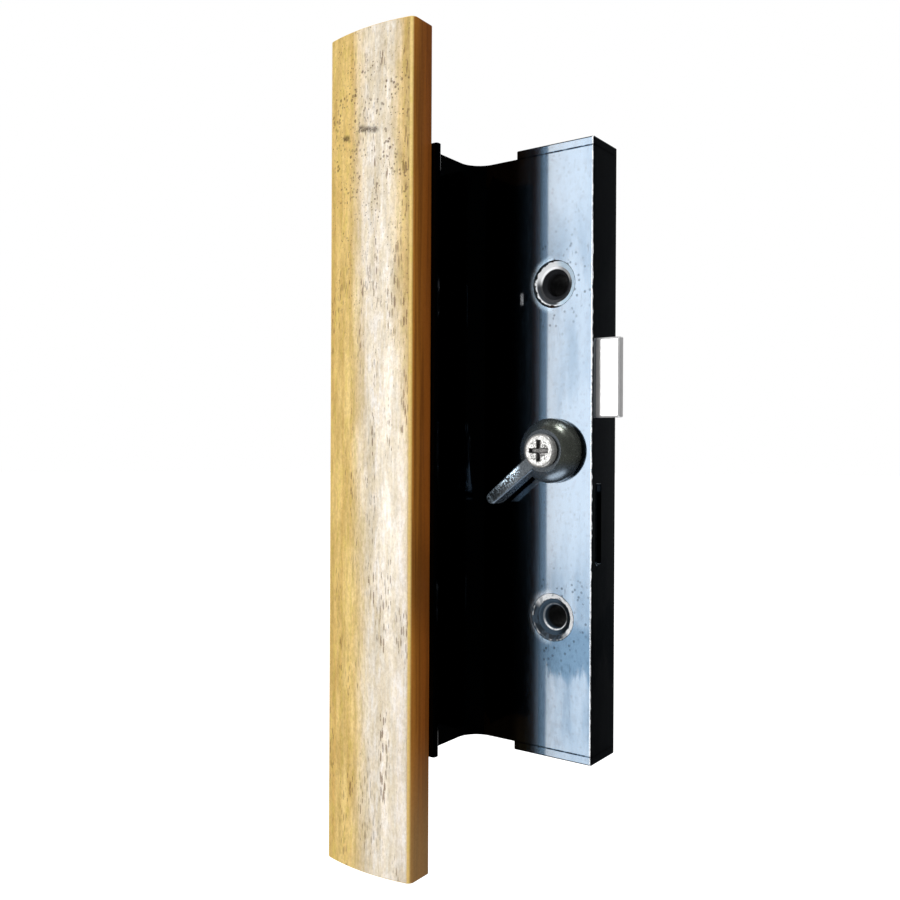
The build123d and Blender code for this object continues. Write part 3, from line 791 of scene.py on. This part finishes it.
class SetStudio(bpy.types.Operator):
    """Pale floor, white surround, one tall softbox and the camera"""

    bl_idname = "door_handle.studio"
    bl_label = "Studio"

    def execute(self, context):
        look = context.scene.door_handle_studio
        scene = context.scene
        scene.view_settings.view_transform = "Standard"
        self.add_camera(scene, look)
        self.add_floor(scene, look)
        self.add_softbox(scene, look)
        self.add_room(scene, look)
        return {"FINISHED"}

    def add_camera(self, scene, look):
        """Looks almost level at the set from the latch side, 36 degrees off its front."""
        turn, dip, roll = (math.radians(angle) for angle in (35.652, 0.126, 0.269))
        ahead = Vector((-math.sin(turn) * math.cos(dip), math.cos(turn) * math.cos(dip),
                        -math.sin(dip)))
        right = Vector((math.cos(turn), math.sin(turn), 0.0))
        up = right.cross(ahead)
        side = math.cos(roll) * right + math.sin(roll) * up
        top = math.cos(roll) * up - math.sin(roll) * right
        camera = bpy.data.objects.new("camera", bpy.data.cameras.new("camera"))
        camera.data.lens = look.lens
        camera.data.sensor_width = 36.0
        camera.data.clip_start = 0.01
        place = Matrix((side, top, -ahead)).transposed().to_4x4()
        place.translation = (0.13868, -0.26126, 0.00070)
        camera.matrix_world = place
        scene.collection.objects.link(camera)
        scene.camera = camera

    def add_floor(self, scene, look):
        """A round floor below the set, white where nothing shades it."""
        build = bmesh.new()
        bmesh.ops.create_circle(build, cap_ends=True, radius=6.0, segments=96)
        bmesh.ops.translate(build, vec=(0, 0, GRIP_LOW.z - look.floor_drop), verts=build.verts)
        mesh = bpy.data.meshes.new("floor")
        build.to_mesh(mesh)
        build.free()
        floor = bpy.data.objects.new("floor", mesh)
        scene.collection.objects.link(floor)
        paint = Finish("pale_floor")
        ray = paint.tree.nodes.new("ShaderNodeLightPath")
        seen = paint.most(*(ray.outputs[f"Is {kind} Ray"]
                            for kind in ("Camera", "Glossy", "Transmission")))
        faint = paint.noise((3, 3, 3), 2.0)
        mesh.materials.append(paint.set(
            Base_Color=paint.mix(faint, (0.80, 0.80, 0.80), (0.83, 0.83, 0.83)),
            Roughness=0.9, Specular_IOR_Level=0.0, Emission_Color=WHITE,
            Emission_Strength=paint.times(seen, 0.75)))
        floor.visible_glossy = False

    def add_lamp(self, scene, name, middle, across, upward, size, watts):
        """An area light that shines against across x upward, unseen by the camera."""
        light = bpy.data.lights.new(name, "AREA")
        light.shape = "RECTANGLE"
        light.size, light.size_y = size
        light.energy = watts
        lamp = bpy.data.objects.new(name, light)
        place = Matrix((across, upward, across.cross(upward))).transposed().to_4x4()
        lamp.matrix_world = Matrix.Translation(middle) @ place
        lamp.visible_camera = False
        scene.collection.objects.link(lamp)

    def add_softbox(self, scene, look):
        """A tall softbox left of the lens, which the plate mirrors, and a small light above."""
        turn = math.radians(look.softbox_turn)
        away = Vector((-math.sin(turn), -math.cos(turn), 0.0))
        across = Vector((-away.y, away.x, 0.0))
        middle = away * look.softbox_away + Vector((0, 0, look.softbox_rise))
        self.add_lamp(scene, "softbox", middle, across, Vector((0, 0, 1)),
                      (look.softbox_width, look.softbox_height), look.softbox_power)
        self.add_lamp(scene, "top_light", Vector((0.19, -0.20, 0.75)), Vector((1, 0, 0)),
                      Vector((0, 1, 0)), (0.25, 0.25), look.top_power)

    def add_room(self, scene, look):
        """White for the eye all round; metal mirrors white behind the set, dark before it."""
        world = bpy.data.worlds.new("room")
        world.use_nodes = True
        scene.world = world
        tree = world.node_tree
        ground = tree.nodes["Background"]
        ray = tree.nodes.new("ShaderNodeLightPath")
        spot = tree.nodes.new("ShaderNodeTexCoord")

        def toward(direction, start, full, low, high):
            """Goes from low to high as a ray turns towards a direction."""
            dot = tree.nodes.new("ShaderNodeVectorMath")
            dot.operation = "DOT_PRODUCT"
            dot.inputs[1].default_value = direction
            tree.links.new(spot.outputs["Generated"], dot.inputs[0])
            level = tree.nodes.new("ShaderNodeMapRange")
            level.interpolation_type = "SMOOTHSTEP"
            for name, value in (("From Min", start), ("From Max", full), ("To Min", low),
                                ("To Max", high)):
                level.inputs[name].default_value = value
            tree.links.new(dot.outputs["Value"], level.inputs["Value"])
            return level.outputs["Result"]

        def choose(kind, otherwise, value):
            """The value for one kind of ray, and otherwise another."""
            node = tree.nodes.new("ShaderNodeMix")
            tree.links.new(ray.outputs[f"Is {kind} Ray"], node.inputs["Factor"])
            for socket, level in ((node.inputs[2], otherwise), (node.inputs[3], value)):
                if isinstance(level, bpy.types.NodeSocket):
                    tree.links.new(level, socket)
                else:
                    socket.default_value = level
            return node.outputs[0]

        mirrored = tree.nodes.new("ShaderNodeMath")
        mirrored.operation = "MAXIMUM"
        behind = toward((-0.583, 0.812, 0.0), 0.45, 0.80, look.dark_side, 1.0)
        below = toward((0.0, 0.0, -1.0), 0.82, 0.96, 0.0, 2.0)
        tree.links.new(behind, mirrored.inputs[0])
        tree.links.new(below, mirrored.inputs[1])
        level = choose("Glossy", look.room, mirrored.outputs[0])
        level = choose("Transmission", level, 1.0)
        level = choose("Camera", level, 1.0)
        ground.inputs["Color"].default_value = (*WHITE, 1.0)
        tree.links.new(level, ground.inputs["Strength"])


class DoorHandlePanel(bpy.types.Panel):
    """Lists the pieces of the handle set and their finishes"""

    bl_idname = "VIEW3D_PT_door_handle"
    bl_label = "Door Handle"
    bl_space_type = "VIEW_3D"
    bl_region_type = "UI"
    bl_category = "Door Handle"

    def draw(self, context):
        for group in (context.scene.door_handle_grip, context.scene.door_handle_metal,
                      context.scene.door_handle_studio):
            box = self.layout.box()
            for name in group.__annotations__:
                box.prop(group, name)
        for operator in PIECES:
            self.layout.operator(operator.bl_idname)


PIECES = (DressGrip, DressBody, DressTurn, DressSmallPieces, SetStudio)
GROUPS = (("door_handle_grip", GripFinish), ("door_handle_metal", MetalFinish),
          ("door_handle_studio", StudioSettings))


def register():
    for name, group in GROUPS:
        bpy.utils.register_class(group)
        setattr(bpy.types.Scene, name, PointerProperty(type=group))
    for piece in PIECES:
        bpy.utils.register_class(piece)
    bpy.utils.register_class(DoorHandlePanel)


def unregister():
    bpy.utils.unregister_class(DoorHandlePanel)
    for piece in reversed(PIECES):
        bpy.utils.unregister_class(piece)
    for name, group in reversed(GROUPS):
        delattr(bpy.types.Scene, name)
        bpy.utils.unregister_class(group)


def main():
    register()
    bpy.ops.door_handle.grip()
    bpy.ops.door_handle.body()
    bpy.ops.door_handle.turn()
    bpy.ops.door_handle.small_pieces()
    bpy.ops.door_handle.studio()


if __name__ == "__main__":
    main()
